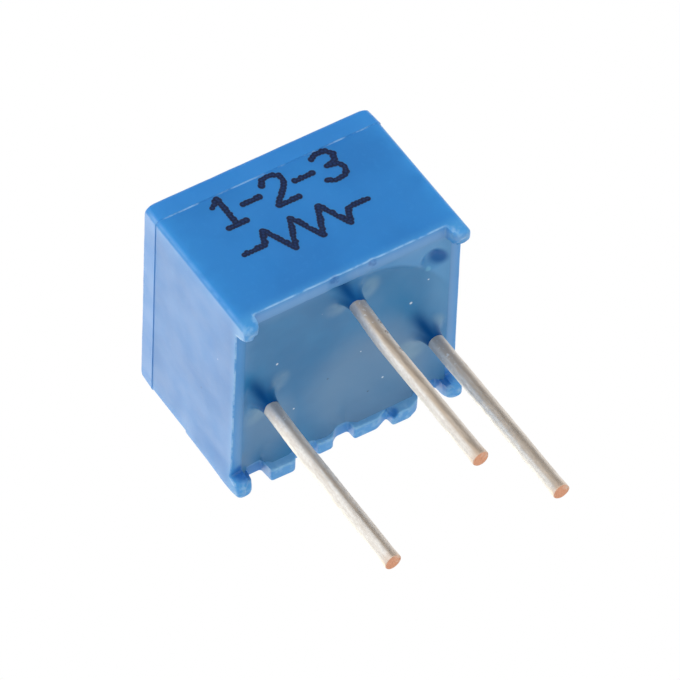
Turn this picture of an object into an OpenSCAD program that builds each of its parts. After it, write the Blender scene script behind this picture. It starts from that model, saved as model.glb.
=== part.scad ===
// Sealed single-turn trimmer potentiometer for a printed board, adjusted from the top.
// Origin: middle of the seating plane, +Z up to the adjuster, pins down, marked face at -Y.

/* [Housing] */
// Width across the marked face
body_w = 6.9; // [6.6:0.05:9]
// Depth from the marked face to the rear face
body_d = 6.8; // [6.6:0.05:9]
// Height of the adjuster face above the board
body_h = 5; // [4.8:0.05:7]
// How far the rear right corner stands out of square
corner_out = 0.15; // [0:0.05:0.3]
// Thickness of the two side walls
side_wall = 0.36; // [0.25:0.01:0.4]
// Thickness of the marked and rear walls
end_wall = 0.5; // [0.3:0.01:0.55]
// Thickness of the wall around the adjuster
top_wall = 1.35; // [1.3:0.01:1.4]
// Rounding of the upright edges
edge_r = 0.15; // [0.05:0.01:0.3]
// Rounding of the edges around the adjuster face
top_r = 0.12; // [0.1:0.01:0.4]
// Radius of the round chamber that the rotor turns in
chamber_r = 2.65; // [2.5:0.01:2.7]

/* [Standoffs] */
// Height of the side and front rims above the board
rim_gap = 0.45; // [0.2:0.01:0.5]
// Width of a corner foot
foot_w = 0.5; // [0.3:0.01:0.6]
// Depth of a corner foot
foot_d = 0.54; // [0.3:0.01:0.8]
// Rounding of the feet
foot_r = 0.12; // [0.05:0.01:0.14]
// Height of the deepest notches of the rear rim above the board
rear_gap = 0.6; // [0.55:0.01:0.62]
// Radius of the half-round recess inside the rear rim
recess_r = 0.13; // [0.05:0.01:0.2]

/* [Rotor] */
// Diameter of the rotor's head
head_d = 3.05; // [2.2:0.05:3.6]
// Depth of the head's face below the adjuster face
head_drop = 0.05; // [0:0.01:0.2]
// Width of the screwdriver slot
slot_w = 0.56; // [0.3:0.02:0.8]
// Depth of the screwdriver slot
slot_depth = 0.7; // [0.4:0.02:0.74]
// Radius of the rotor's flange
flange_r = 2.3; // [2:0.01:2.45]
// Thickness of the rotor's flange
flange_t = 0.45; // [0.35:0.01:0.5]
// Travel of the rotor between its stops, in degrees
travel = 240; // [180:1:270]
// Half the width of the stop lug, in degrees
lug_half = 12; // [6:1:16]
// Running clearance between the head and its bore
head_gap = 0.05; // [0.02:0.005:0.09]
// Gap between the flange and the chamber roof
flange_gap = 0.03; // [0.01:0.005:0.06]
// Radius of the post that the wiper is staked to
post_r = 0.35; // [0.25:0.01:0.5]

/* [Seal] */
// Thickness of the O-ring
ring_t = 0.5; // [0.3:0.01:0.52]
// Clearance around the O-ring
ring_gap = 0.025; // [0.01:0.005:0.04]

/* [Element] */
// Height of the top of the ceramic plate above the board
plate_z = 2.1; // [1.9:0.05:2.2]
// Thickness of the ceramic plate
plate_t = 0.65; // [0.4:0.01:0.8]
// Clearance between the ceramic plate and the housing
plate_gap = 0.02; // [0.01:0.01:0.04]
// Thickness of the printed films
film_t = 0.03; // [0.02:0.01:0.05]
// Middle radius of the resistive track
track_r = 2; // [1.7:0.01:2]
// Width of the resistive track
track_w = 0.5; // [0.3:0.01:0.5]
// How far the track runs past the wiper's travel at each end, in degrees
track_over = 10; // [6:1:14]
// Radius of the centre contact
collector_r = 0.95; // [0.7:0.01:1.1]
// Width of the strip from the centre contact to pin 2
lead_w = 0.7; // [0.3:0.01:0.8]
// Radius of the film around a pin
land_r = 0.4; // [0.39:0.01:0.41]

/* [Wiper] */
// Thickness of the wiper's spring sheet
wiper_t = 0.08; // [0.05:0.01:0.1]
// Width of one contact finger
finger_w = 0.14; // [0.1:0.01:0.16]
// Distance from one finger to the next
finger_pitch = 0.2; // [0.18:0.01:0.24]
// Gap left between a finger and its film
touch_gap = 0.03; // [0.01:0.005:0.05]

/* [Pins] */
// Diameter of a pin
pin_d = 0.46; // [0.35:0.01:0.56]
// Length of a pin below the board's surface
pin_len = 5.85; // [3:0.05:12]
// Distance from pin 1 to pin 3
pin_span = 5.08; // [5:0.02:5.1]
// Distance from pin 2 to pin 1, front to back
pin_offset = 2.54; // [2.4:0.02:2.56]
// Distance of pin 1 behind the housing's middle
pin_back = 0.12; // [0.1:0.01:0.4]
// How much farther back than pin 1 pin 3 stands
pin_3_back = 0.42; // [0:0.01:0.45]
// Height above the board that a pin's taper starts at, inside the epoxy
taper_gap = 0.22; // [0.18:0.01:0.4]
// How much thinner than its free length a pin is at its head, in the ceramic plate
pin_taper = 0.04; // [0.02:0.01:0.08]
// Gap around a pin in its hole in the ceramic plate
hole_gap = 0.03; // [0.01:0.01:0.06]
// Height of the epoxy's surface above the board
epoxy_gap = 0.62; // [0.6:0.01:0.8]
// Height above the board that the epoxy's rise up a pin ends at
rise_gap = 0.08; // [0.02:0.01:0.4]
// Radius of the foot of that rise
rise_r = 0.5; // [0.35:0.01:0.55]
// Height of a solder fillet
solder_h = 0.25; // [0.1:0.01:0.35]
// Radius of a solder fillet on the ceramic plate
solder_r = 0.4; // [0.32:0.01:0.42]

/* [Hidden] */
$fn = 64;

over = 1;                   // how far a cutting solid runs past the face that it cuts
slip = 0.01;                // overlap that joins the shapes of one solid
stop_play = 0.5;            // angle left between the stop lug and the rib at each end
lug_gap = 0.05;             // gap between the lug and the chamber wall
rib_gap = 0.08;             // gap between the flange and the stop rib
rib_drop = 0.1;             // how far the rib reaches below the flange
end_film = 8;               // angle that an end film covers past the track's end
film_band = 0.3;            // width of the film that runs around to an end pin
land_room = 0.04;           // room around a pin's film in the housing's ledge
film_room = 0.12;           // and above it

pin_r = pin_d / 2;
head_r = head_d / 2;
roof_z = body_h - top_wall;
flange_z = roof_z - flange_gap - flange_t;
cavity_w = body_w - 2 * side_wall;
cavity_d = body_d - 2 * end_wall;
plate_low = plate_z - plate_t;
film_z = plate_z + film_t;
track_in = track_r - track_w / 2;
track_out = track_r + track_w / 2;
track_half = travel / 2 + track_over;
rib_in = flange_r + rib_gap;
rib_half = 180 - travel / 2 - lug_half - stop_play;
ring_mid_r = head_r + ring_gap + ring_t / 2;
ring_seat_r = head_r + 2 * ring_gap + ring_t;
ring_seat_h = ring_t + 2 * ring_gap;
post_h = 0.25;              // how far the post reaches below the flange
sheet_r = 0.95;             // radius of the wiper's round middle
sheet_z = flange_z - wiper_t / 2;
touch_z = film_z + touch_gap + wiper_t / 2;

PINS = [[-pin_span / 2, pin_back], [0, pin_back - pin_offset],
    [pin_span / 2, pin_back + pin_3_back]];

// Corners seen from above, counter-clockwise from the front left
function corners(w, d, out) = [[-w / 2, -d / 2], [w / 2, -d / 2], [w / 2 + out, d / 2], [-w / 2, d / 2]];
WALLS = corners(body_w, body_d, corner_out);

// Tabs left on the rear rim: distance from the housing's middle, height above the board
tab_root = rear_gap + over;
REAR_TABS = [
    [[-2.4, tab_root], [-2.36, 0.12], [-1.66, 0.1], [-1.55, 0.22], [-1.62, 0.44], [-1.4, 0.44],
        [-1.4, tab_root]],
    [[-1.5, tab_root], [-1.5, 0.44], [-0.85, 0.44], [-0.82, 0.24], [-0.38, 0.24], [-0.25, 0.42],
        [-0.1, 0.52], [0.4, 0.52], [0.4, tab_root]],
    [[0.26, tab_root], [0.28, 0.2], [0.98, 0.19], [1.18, 0.28], [1.38, 0.36], [1.38, tab_root]],
    [[1.36, tab_root], [1.4, 0.07], [1.92, 0.06], [2.2, 0.18], [2.32, 0.3], [2.45, tab_root]]];
RECESS = [1.42, body_d / 2 - end_wall, 0.2];    // middle of the half-round recess

// Side profile of a track finger, and of a collector finger: distance from the axis, height
TRACK_FINGER = [[0.8, sheet_z], [1.05, sheet_z], [track_r - 0.2, touch_z + 0.1],
    [track_r - 0.06, touch_z], [track_r + 0.06, touch_z], [track_r + 0.2, touch_z + 0.1]];
COLLECTOR_FINGER = [[-0.8, sheet_z], [-1.15, sheet_z], [-1.28, sheet_z - 0.12],
    [-1.28, sheet_z - 0.28], [-0.66, touch_z + 0.12], [-0.52, touch_z], [-0.4, touch_z],
    [-0.3, touch_z + 0.08]];

// --- shapes used more than once ---

// Polygon with round corners: the straight edges end where the corner circles touch them
function unit(v) = v / norm(v);
function near(p, i) = unit(p[(i + len(p) - 1) % len(p)] - p[i]);
function far(p, i) = unit(p[(i + 1) % len(p)] - p[i]);
function half_angle(p, i) = acos(near(p, i) * far(p, i)) / 2;
function corner_centre(p, i, r) = p[i] + unit(near(p, i) + far(p, i)) * r / sin(half_angle(p, i));
module rounded_polygon(p, r) {
    polygon([for (i = [0:len(p) - 1], v = [near(p, i), far(p, i)]) p[i] + v * r / tan(half_angle(p, i))]);
    for (i = [0:len(p) - 1]) translate(corner_centre(p, i, r)) circle(r);
}

// Section across a wall: all that lies inside its outer face, round at the feet and at the top
module wall_section() {
    inside = body_w + body_d;
    translate([0, foot_r]) square([inside, body_h - foot_r - top_r]);
    translate([foot_r, 0]) square([inside, foot_r + slip]);
    translate([top_r, body_h - top_r - slip]) square([inside, top_r + slip]);
    translate([foot_r, foot_r]) circle(foot_r);
    translate([top_r, body_h - top_r]) circle(top_r);
}

module inside_wall(from, to) {
    along = to - from;
    translate([from[0], from[1], 0]) rotate([0, 0, atan2(along[1], along[0])])
        translate([-over, 0, 0]) rotate([90, 0, 90]) linear_extrude(norm(along) + 2 * over) wall_section();
}

// Gap between two feet with round tips
module foot_gap(from, to, h) {
    translate([from, -over]) square([to - from, h + over]);
    difference() {
        translate([from - foot_r, -over]) square([to - from + 2 * foot_r, foot_r + over]);
        for (x = [from - foot_r, to + foot_r]) translate([x, foot_r]) circle(foot_r);
    }
}

// Part of a ring about the Z axis, centred on an angle
module sector(mid, half, r_in, r_out, z, h) {
    translate([0, 0, z]) rotate([0, 0, mid - half])
        rotate_extrude(angle = 2 * half) translate([r_in, 0]) square([r_out - r_in, h]);
}

module at_pin(number, z) {
    translate([PINS[number - 1][0], PINS[number - 1][1], z]) children();
}

// Outline of a bent strip: its middle line given half the thickness on each side
function direction(p, i) = p[min(i + 1, len(p) - 1)] - p[max(i - 1, 0)];
function beside(p, i, s) = p[i] + s * [-direction(p, i)[1], direction(p, i)[0]] / norm(direction(p, i));
module finger(profile, x) {
    last = len(profile) - 1;
    translate([x, 0, 0]) rotate([90, 0, 90]) linear_extrude(finger_w, center = true)
        polygon(concat([for (i = [0:last]) beside(profile, i, wiper_t / 2)],
            [for (i = [last:-1:0]) beside(profile, i, -wiper_t / 2)]));
}

// --- housing ---

module block() {
    intersection() {
        linear_extrude(body_h) rounded_polygon(WALLS, edge_r);
        inside_wall(WALLS[0], WALLS[1]);
        inside_wall(WALLS[1], WALLS[2]);
        inside_wall(WALLS[2], WALLS[3]);
        inside_wall(WALLS[3], WALLS[0]);
    }
}

// Room for the ceramic plate and the epoxy
module cavity(low, high) {
    translate([0, 0, low]) linear_extrude(high - low)
        rounded_polygon(corners(cavity_w, cavity_d, corner_out), edge_r);
}

module chamber() {
    difference() {
        translate([0, 0, plate_z - slip]) cylinder(r = chamber_r, h = roof_z - plate_z + slip);
        sector(-90, rib_half, rib_in, chamber_r + over, flange_z - rib_drop, flange_t + over);
    }
    for (i = [1:3]) at_pin(i, plate_z - slip) cylinder(r = land_r + land_room, h = film_room);
}

// What is cut away between the corner feet
module standoff_cuts() {
    left = foot_w - body_w / 2;
    right = body_w / 2 - foot_w;
    side = body_d / 2 - foot_d;
    translate([0, -side, 0]) rotate([90, 0, 0]) linear_extrude(foot_d + over)
        foot_gap(left, right, rim_gap);
    translate([-body_w, 0, 0]) rotate([90, 0, 90]) linear_extrude(2 * body_w)
        foot_gap(-side, side, rim_gap);
    translate([0, body_d / 2 + over, 0]) rotate([90, 0, 0]) linear_extrude(foot_d + over) difference() {
        foot_gap(left, right + corner_out, rear_gap);
        for (tab = REAR_TABS) polygon(tab);
    }
}

module housing() {
    color("#2f78c4")
    difference() {
        block();
        cavity(-over, plate_z);
        chamber();
        cylinder(r = head_r + head_gap, h = body_h + over);
        translate([0, 0, roof_z - slip]) cylinder(r = ring_seat_r, h = ring_seat_h + slip);
        standoff_cuts();
        translate(RECESS) sphere(recess_r);
    }
}

// --- rotor and seal ---

module rotor() {
    head_top = body_h - head_drop;
    color("#e8e6da")
    difference() {
        union() {
            translate([0, 0, flange_z]) cylinder(r = flange_r, h = flange_t);
            translate([0, 0, flange_z]) cylinder(r = head_r, h = head_top - flange_z);
            translate([0, 0, flange_z - post_h]) cylinder(r = post_r, h = post_h + slip);
            sector(90, lug_half, flange_r - 0.3, chamber_r - lug_gap, flange_z, flange_t);
        }
        translate([-slot_w / 2, -head_d, head_top - slot_depth])
            cube([slot_w, 2 * head_d, slot_depth + over]);
    }
}

module o_ring() {
    color("#c2542b")
    translate([0, 0, roof_z + ring_gap + ring_t / 2])
        rotate_extrude() translate([ring_mid_r, 0]) circle(ring_t / 2);
}

// --- wiper ---

module wiper() {
    color("#d8c48a") {
        translate([0, 0, flange_z - wiper_t]) difference() {
            union() {
                cylinder(r = sheet_r, h = wiper_t);
                translate([-sheet_r / 2, -sheet_r, 0]) cube([sheet_r, 2 * sheet_r, wiper_t]);
            }
            translate([0, 0, -over]) cylinder(r = post_r, h = wiper_t + 2 * over);
        }
        for (i = [-2:2]) finger(TRACK_FINGER, i * finger_pitch);
        for (i = [-1:1]) finger(COLLECTOR_FINGER, i * finger_pitch);
    }
}

// --- ceramic plate and its films ---

module substrate() {
    color("#f2f0ea")
    difference() {
        translate([0, 0, plate_low]) linear_extrude(plate_t)
            rounded_polygon(corners(cavity_w - 2 * plate_gap, cavity_d - 2 * plate_gap, 0), edge_r);
        for (i = [1:3]) at_pin(i, plate_low - over) cylinder(r = pin_r + hole_gap, h = plate_t + 2 * over);
    }
}

module resistive_track() {
    color("#2b2b2e") sector(90, track_half, track_in, track_out, plate_z, film_t);
}

// Film from one end of the track, round to an end pin
module end_pad(number) {
    side = number == 3 ? 1 : -1;
    track_end = 90 - side * track_half;
    film_end = track_end - side * end_film;
    pin_angle = atan2(PINS[number - 1][1], PINS[number - 1][0]);
    color("#b9bcc0") {
        sector((track_end + film_end) / 2, end_film / 2, track_in, track_out + slip, plate_z, film_t);
        sector((pin_angle + film_end) / 2, abs(pin_angle - film_end) / 2, track_out,
            track_out + film_band, plate_z, film_t);
        difference() {
            at_pin(number, plate_z) cylinder(r = land_r, h = film_t);
            translate([0, 0, plate_z - over]) cylinder(r = track_out, h = 2 * over);
        }
    }
}

module collector_pad() {
    color("#b9bcc0") {
        translate([0, 0, plate_z]) cylinder(r = collector_r, h = film_t);
        translate([-lead_w / 2, PINS[1][1], plate_z]) cube([lead_w, -PINS[1][1], film_t]);
        at_pin(2, plate_z) cylinder(r = land_r, h = film_t);
    }
}

// --- pins, solder and epoxy ---

// A pin's outline turned about its axis: round wire that tapers to its head
module pin_form(low, high) {
    rotate_extrude() polygon([[0, low], [pin_r, low], [pin_r, taper_gap],
        [pin_r - pin_taper / 2, high], [0, high]]);
}

module pin(number) {
    color("#c9c5bd") at_pin(number, 0) pin_form(-pin_len, plate_z);
}

module solder_form(number) {
    at_pin(number, plate_low - solder_h) cylinder(r1 = pin_r + hole_gap, r2 = solder_r, h = solder_h);
}

module pin_hole(number) {
    at_pin(number, 0) pin_form(-over, plate_z);
}

module solder(number) {
    color("#9fa3a8")
    difference() {
        solder_form(number);
        pin_hole(number);
    }
}

module epoxy_seal() {
    color("#5580a8")
    difference() {
        union() {
            cavity(epoxy_gap, plate_low);
            for (i = [1:3]) at_pin(i, rise_gap)
                cylinder(r1 = pin_r + hole_gap, r2 = rise_r, h = epoxy_gap - rise_gap + slip);
        }
        for (i = [1:3]) {
            pin_hole(i);
            solder_form(i);
        }
    }
}

housing();
rotor();
o_ring();
wiper();
substrate();
resistive_track();
collector_pad();
end_pad(1);  // end_pad_1
end_pad(3);  // end_pad_3
pin(1);  // pin_1
pin(2);  // pin_2
pin(3);  // pin_3
solder(1);  // solder_1
solder(2);  // solder_2
solder(3);  // solder_3
epoxy_seal();
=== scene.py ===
# Sealed single-turn trimmer potentiometer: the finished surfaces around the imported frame,
# a plain studio and the camera. Lengths are millimetres until a mesh is made.
import math

import bmesh
import bpy
import numpy as np
from mathutils import Matrix, Vector
from mathutils.geometry import delaunay_2d_cdt


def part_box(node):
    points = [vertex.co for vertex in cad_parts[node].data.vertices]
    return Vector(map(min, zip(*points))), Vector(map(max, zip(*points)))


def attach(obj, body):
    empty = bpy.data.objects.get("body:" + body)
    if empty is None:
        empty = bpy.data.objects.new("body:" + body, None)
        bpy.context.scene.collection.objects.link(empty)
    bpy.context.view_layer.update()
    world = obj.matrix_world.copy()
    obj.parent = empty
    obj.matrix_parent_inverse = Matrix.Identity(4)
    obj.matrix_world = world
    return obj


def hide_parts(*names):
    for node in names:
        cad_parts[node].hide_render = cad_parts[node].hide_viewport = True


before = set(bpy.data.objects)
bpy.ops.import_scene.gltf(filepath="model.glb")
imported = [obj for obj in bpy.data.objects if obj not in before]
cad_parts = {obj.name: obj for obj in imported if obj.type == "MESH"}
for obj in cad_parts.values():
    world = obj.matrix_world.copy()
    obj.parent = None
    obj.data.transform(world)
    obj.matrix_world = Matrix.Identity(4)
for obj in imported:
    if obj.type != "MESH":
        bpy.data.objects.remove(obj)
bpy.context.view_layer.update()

MM = 0.001

# --- sizes read from the frame ---


def box_mm(node):
    low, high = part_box(node)
    return np.array(low) / MM, np.array(high) / MM


HOUSE_LOW, HOUSE_HIGH = box_mm("housing")
ROTOR_LOW, ROTOR_HIGH = box_mm("rotor")
RING_LOW, RING_HIGH = box_mm("o_ring")
PLATE_LOW, PLATE_HIGH = box_mm("substrate")
TRACK_LOW, TRACK_HIGH = box_mm("resistive_track")
EPOXY_LOW = box_mm("epoxy_seal")[0]
WIPER_LOW, WIPER_HIGH = box_mm("wiper")
PIN_BOXES = {number: box_mm(f"pin_{number}") for number in (1, 2, 3)}
SOLDER_BOXES = {number: box_mm(f"solder_{number}") for number in (1, 2, 3)}
SOLDER_R = (SOLDER_BOXES[1][1][0] - SOLDER_BOXES[1][0][0]) / 2
PINS = {number: ((low + high) / 2)[:2] for number, (low, high) in PIN_BOXES.items()}
PIN_R = (PIN_BOXES[1][1][0] - PIN_BOXES[1][0][0]) / 2

LEFT, FRONT = HOUSE_LOW[:2]
RIGHT = -LEFT
REAR, TOP = HOUSE_HIGH[1:]
SIDE_WALL = EPOXY_LOW[0] - LEFT
END_WALL = EPOXY_LOW[1] - FRONT
PLATE_TOP = PLATE_HIGH[2]

# --- sizes of the mouldings that the frame's boxes don't give ---

REAR_RIGHT = RIGHT + 0.15   # the rear right corner stands out of square
EDGE_R = 0.15               # rounding of the upright edges
TOP_R = 0.12                # rounding around the adjuster face
TOP_CORNER_R = 0.32         # plan rounding of the adjuster face's corners
EDGE_END = EDGE_R + 0.03    # where the rims' outlines end
PARTING = TOP - 0.65        # height of the parting line
STEP = 0.02                 # how far the walls stand back below it
STRIP_DRAFT = 0.03          # draft of the strip above it
WALL_LOOPS = (3.2, 2.68, 2.6, 2.1, 1.6)  # heights of the plain walls' loops
RIM = 0.45                  # height of the side and front rims above the board
REAR_GAP = 0.6              # height of the rear rim's deepest notches
FOOT_W, FOOT_D = 0.5, 0.54  # a corner foot
FOOT_TIP_R = 0.28
FOOT_DRAFT = 0.03           # slope of a foot's flank
FOOT_LIFT = 0.15            # how far a foot's underside rises towards the cavity
RIM_ROUND = 0.04            # rounding of a rim's outer edge
FOOT_ROUND = 0.12           # and of a foot's
INNER_ROUNDS = (0.02, 0.02, 0.04, 0.02)  # rounding of each rim's inner edge
CAVITY_R = 0.1              # plan rounding of the cavity's corners
RIM_CLEAR = 0.68            # below this height a wall's points keep their place along it
WALL_LOW = 1.15             # and above this one its loops are level
CAVITY_LEVEL = 1.2          # as they are here in the cavity
BORE_R = 1.575
BORE_EDGE = 0.06
SEAT_R = 2.075              # seat of the O-ring
ROOF = TOP - 1.35           # of the chamber that the rotor's flange turns in
SEAT_HIGH = ROOF + 0.55
CHAMBER_R = 2.65
RIB_R = 2.38                # stop rib in the chamber
RIB_HALF = 47.5
RIB_LOW = ROOF - 0.58
EPOXY_LEVEL = 0.62
HEAD_R = 1.525
SLOT_W = 0.56
SLOT_DEPTH = 0.7
FLANGE_R = 2.3
FLANGE_LOW, FLANGE_HIGH = ROOF - 0.48, ROOF - 0.03
POST_R = 0.35
LUG_HALF = 12

# --- mesh helpers ---


def add_object(name, data):
    thing = bpy.data.objects.new(name, data)
    bpy.context.scene.collection.objects.link(thing)
    return thing


def new_piece(name, points, faces, material, sharp=40):
    """A mesh object at the origin, from points in millimetres."""
    mesh = bpy.data.meshes.new(name)
    mesh.from_pydata((np.asarray(points) * MM).tolist(), [], faces)
    mesh.materials.append(material)
    work = bmesh.new()
    work.from_mesh(mesh)
    bmesh.ops.recalc_face_normals(work, faces=work.faces)
    work.to_mesh(mesh)
    work.free()
    mesh.shade_smooth()
    mesh.set_sharp_from_angle(angle=math.radians(sharp))
    return add_object(name, mesh)


def seat(piece, body, slot, *nodes):
    """The piece moves with a body and stands for its CAD nodes. The slot is not used."""
    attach(piece, body)
    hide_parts(*nodes)


def paint(piece, name, values):
    """A number for each point of the piece, which its material reads."""
    layer = piece.data.attributes.new(name, "FLOAT", "POINT")
    layer.data.foreach_set("value", np.asarray(values, np.float32))


def band(low, high, count):
    """Quads between two loops of points, which start at these numbers."""
    return [(low + i, low + (i + 1) % count, high + (i + 1) % count, high + i) for i in range(count)]


def strips(levels, around, closed=False):
    """Quads between loops of points, one loop after the other, with a face over each open end."""
    last = (levels - 1) * around
    faces = [quad for low in range(0, last, around) for quad in band(low, low + around, around)]
    if closed:
        return faces + band(last, 0, around)
    return faces + [tuple(range(around))[::-1], tuple(range(last, last + around))]


def circle_points(centre, radius, count):
    angles = np.arange(count) * 2 * math.pi / count
    return centre + radius * np.stack([np.cos(angles), np.sin(angles)], 1)


def turned(profile, segments, centre=(0.0, 0.0)):
    """Loops of a profile of (radius, height) turned about an upright axis."""
    return np.concatenate([np.column_stack([circle_points(centre, r, segments), np.full(segments, z)])
                           for r, z in profile])


def arc(centre, radius, start, end, steps):
    """Points of an arc, with both ends."""
    angles = np.radians(np.linspace(start, end, steps + 1))
    return [(centre[0] + radius * math.cos(a), centre[1] + radius * math.sin(a)) for a in angles]


def wobble(points, size, seed):
    """Smooth unevenness from -1 to 1 with features of about that size."""
    total = np.zeros(len(points))
    chance = np.random.default_rng(seed)
    for _ in range(7):
        direction = chance.normal(size=3)
        direction /= np.linalg.norm(direction)
        waves = 2 * math.pi / (size * chance.uniform(0.7, 1.8))
        total += np.sin(points @ direction * waves + chance.uniform(0, 2 * math.pi))
    return total / 4


def smooth(x):
    x = np.clip(x, 0, 1)
    return x * x * (3 - 2 * x)


# --- plan outline of the walls ---

CORNER_STEPS = 14


def plan_corners(inset_x, inset_y):
    """Corners of the walls moved inwards, counter-clockwise from the front left."""
    return np.array([
        [LEFT + inset_x, FRONT + inset_y], [RIGHT - inset_x, FRONT + inset_y],
        [REAR_RIGHT - inset_x, REAR - inset_y], [LEFT + inset_x, REAR - inset_y]])


OUTER = plan_corners(0, 0)
CAVITY = plan_corners(SIDE_WALL, END_WALL)


def round_corner(corners, i, radius):
    """Centre of the arc at a corner, and how far along the walls it ends."""
    here = corners[i % 4]
    before = corners[(i - 1) % 4] - here
    after = corners[(i + 1) % 4] - here
    before, after = before / np.linalg.norm(before), after / np.linalg.norm(after)
    half = math.acos(before @ after) / 2
    middle = before + after
    return here + middle / np.linalg.norm(middle) * radius / math.sin(half), radius / math.tan(half)


def wall_normal(corners, side):
    along = corners[(side + 1) % 4] - corners[side % 4]
    return np.array([along[1], -along[0]]) / np.linalg.norm(along)


def corner_normals(corners, i):
    """Directions across the arc between two walls, without its ends."""
    start, end = (math.atan2(*wall_normal(corners, side)[::-1]) for side in (i - 1, i))
    turn = (end - start) % (2 * math.pi)
    angles = start + turn * np.arange(1, CORNER_STEPS) / CORNER_STEPS
    return np.stack([np.cos(angles), np.sin(angles)], 1)


def plan_loop(corners, radius, shares=None, along=None):
    """Points around the walls: at a share of each wall's straight, or at a place on its axis."""
    rows = []
    for side in range(4):
        run = corners[(side + 1) % 4] - corners[side]
        run = run / np.linalg.norm(run)
        centre, reach = round_corner(corners, side + 1, radius)
        start = corners[side] + run * round_corner(corners, side, radius)[1]
        end = corners[(side + 1) % 4] - run * reach
        axis = side % 2
        share = shares[side] if along is None else (along[side] - start[axis]) / (end - start)[axis]
        rows.append(start + share[:, None] * (end - start))
        rows.append(centre + radius * corner_normals(corners, side + 1))
    return np.concatenate(rows)


def inside_plan(points, corners):
    """Distance of each point inwards from each wall, and from the nearest one."""
    depths = [(corners[side] - points) @ wall_normal(corners, side) for side in range(4)]
    return depths, np.min(depths, axis=0)


# --- rim outline of each wall ---


def softened(points, radii, step=0.035):
    """A path with round corners and points at most a step apart."""
    points = np.array(points, float)
    path = [points[0]]
    for i in range(1, len(points) - 1):
        here = points[i]
        back, on = points[i - 1] - here, points[i + 1] - here
        share_back = 0.96 * radii[i] / (radii[i] + radii[i - 1])
        share_on = 0.96 * radii[i] / (radii[i] + radii[i + 1])
        reach = min(radii[i], share_back * np.linalg.norm(back), share_on * np.linalg.norm(on))
        start = here + back / np.linalg.norm(back) * reach
        end = here + on / np.linalg.norm(on) * reach
        for t in np.linspace(0, 1, 7):
            path.append((1 - t) ** 2 * start + 2 * t * (1 - t) * here + t * t * end)
    path.append(points[-1])
    dense = [path[0]]
    for a, b in zip(path, path[1:]):
        count = max(1, math.ceil(np.linalg.norm(b - a) / step))
        dense += [a + (b - a) * i / count for i in range(1, count + 1)]
    return np.array(dense)


def wall_span(side):
    """Ends of a wall along its axis, the wall's thickness there and a foot's share of it."""
    if side % 2:
        return FRONT, REAR, END_WALL, FOOT_D
    return LEFT, REAR_RIGHT if side == 2 else RIGHT, SIDE_WALL, FOOT_W


def rim_outline(side, gap, tabs=(), soft=0.07):
    """Outline of a rim with a foot at each end, as (place along the wall, height)."""
    start, end, _, foot = wall_span(side)
    points = [(start + EDGE_END, 0), (start + foot, 0), (start + foot + FOOT_DRAFT, gap), *tabs,
              (end - foot - FOOT_DRAFT, gap), (end - foot, 0), (end - EDGE_END, 0)]
    return softened(points, [0, FOOT_TIP_R] + [soft] * (len(tabs) + 2) + [FOOT_TIP_R, 0])


# The four tabs of the rear rim, from the left
TABS = [(-2.4, REAR_GAP), (-2.36, 0.12), (-1.66, 0.1), (-1.55, 0.22), (-1.53, 0.44),
        (-0.85, 0.44), (-0.82, 0.24), (-0.38, 0.24), (-0.25, 0.42), (-0.1, 0.52), (0.26, 0.52),
        (0.28, 0.2), (0.98, 0.19), (1.18, 0.28), (1.37, 0.36), (1.4, 0.07), (1.92, 0.06),
        (2.2, 0.18), (2.32, 0.3), (2.35, REAR_GAP)]
REAR_RIM = rim_outline(2, REAR_GAP, TABS, 0.08)
# Chips in the marked wall's outer rim: place, half width, height
RIM_CHIPS = [(0.67, 0.12, 0.028), (-0.48, 0.14, 0.022), (0.25, 0.08, 0.01), (-1.3, 0.08, 0.008)]


class Rims:
    """Stations around the housing, spaced by the rim's outline on each wall."""

    def __init__(self):
        marked = rim_outline(0, RIM)
        for place, half, height in RIM_CHIPS:
            marked[:, 1] += height * np.exp(-((marked[:, 0] - place) / half) ** 2)
        self.along, self.height, self.lean, self.shares = [], [], [], []
        for number, outline in enumerate((marked, rim_outline(1, RIM), REAR_RIM, rim_outline(3, RIM))):
            run = np.gradient(outline, axis=0)
            lean = np.stack([-run[:, 1], run[:, 0]], 1)
            lean /= np.linalg.norm(lean, axis=1)[:, None]
            steps = np.diff(outline, axis=0)
            travelled = np.abs(steps[:, 0]) + 0.35 * np.abs(steps[:, 1])
            share = np.concatenate([[0], np.cumsum(travelled)]) / travelled.sum()
            backwards = number >= 2
            order = slice(None, None, -1 if backwards else 1)
            self.along.append(outline[order, 0])
            self.height.append(outline[order, 1])
            self.lean.append(lean[order])
            self.shares.append((1 - share if backwards else share)[order])

    def flat(self, values, at_corner):
        """One value for each station, with a value of the corners' own between the walls."""
        corner = np.full(CORNER_STEPS - 1, float(at_corner))
        return np.concatenate([row for side in values for row in (side, corner)])

    def normals(self):
        rows = []
        for side, along in enumerate(self.along):
            rows.append(np.tile(wall_normal(OUTER, side), (len(along), 1)))
            rows.append(corner_normals(OUTER, side + 1))
        return np.concatenate(rows)

    def foot_round(self, side):
        """Rounding of a rim's outer edge at each station: larger on the corner feet."""
        low, high, _, foot = wall_span(side)
        from_end = np.minimum(self.along[side] - low, high - self.along[side])
        share = smooth((foot + 0.08 - from_end) / 0.1) * smooth((0.42 - self.height[side]) / 0.3)
        return RIM_ROUND + (FOOT_ROUND - RIM_ROUND) * share

    def cavity_place(self, side):
        """Where a rim's stations lie on the cavity's wall: the feet keep their flanks."""
        low, high, wall, foot = wall_span(side)
        start, end = low + wall + CAVITY_R, high - wall - CAVITY_R
        outer = [low + EDGE_END, low + foot, high - foot, high - EDGE_END]
        inner = [start, max(low + foot, start + 0.01), min(high - foot, end - 0.01), end]
        return np.interp(self.along[side], outer, inner)


# --- housing ---

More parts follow.
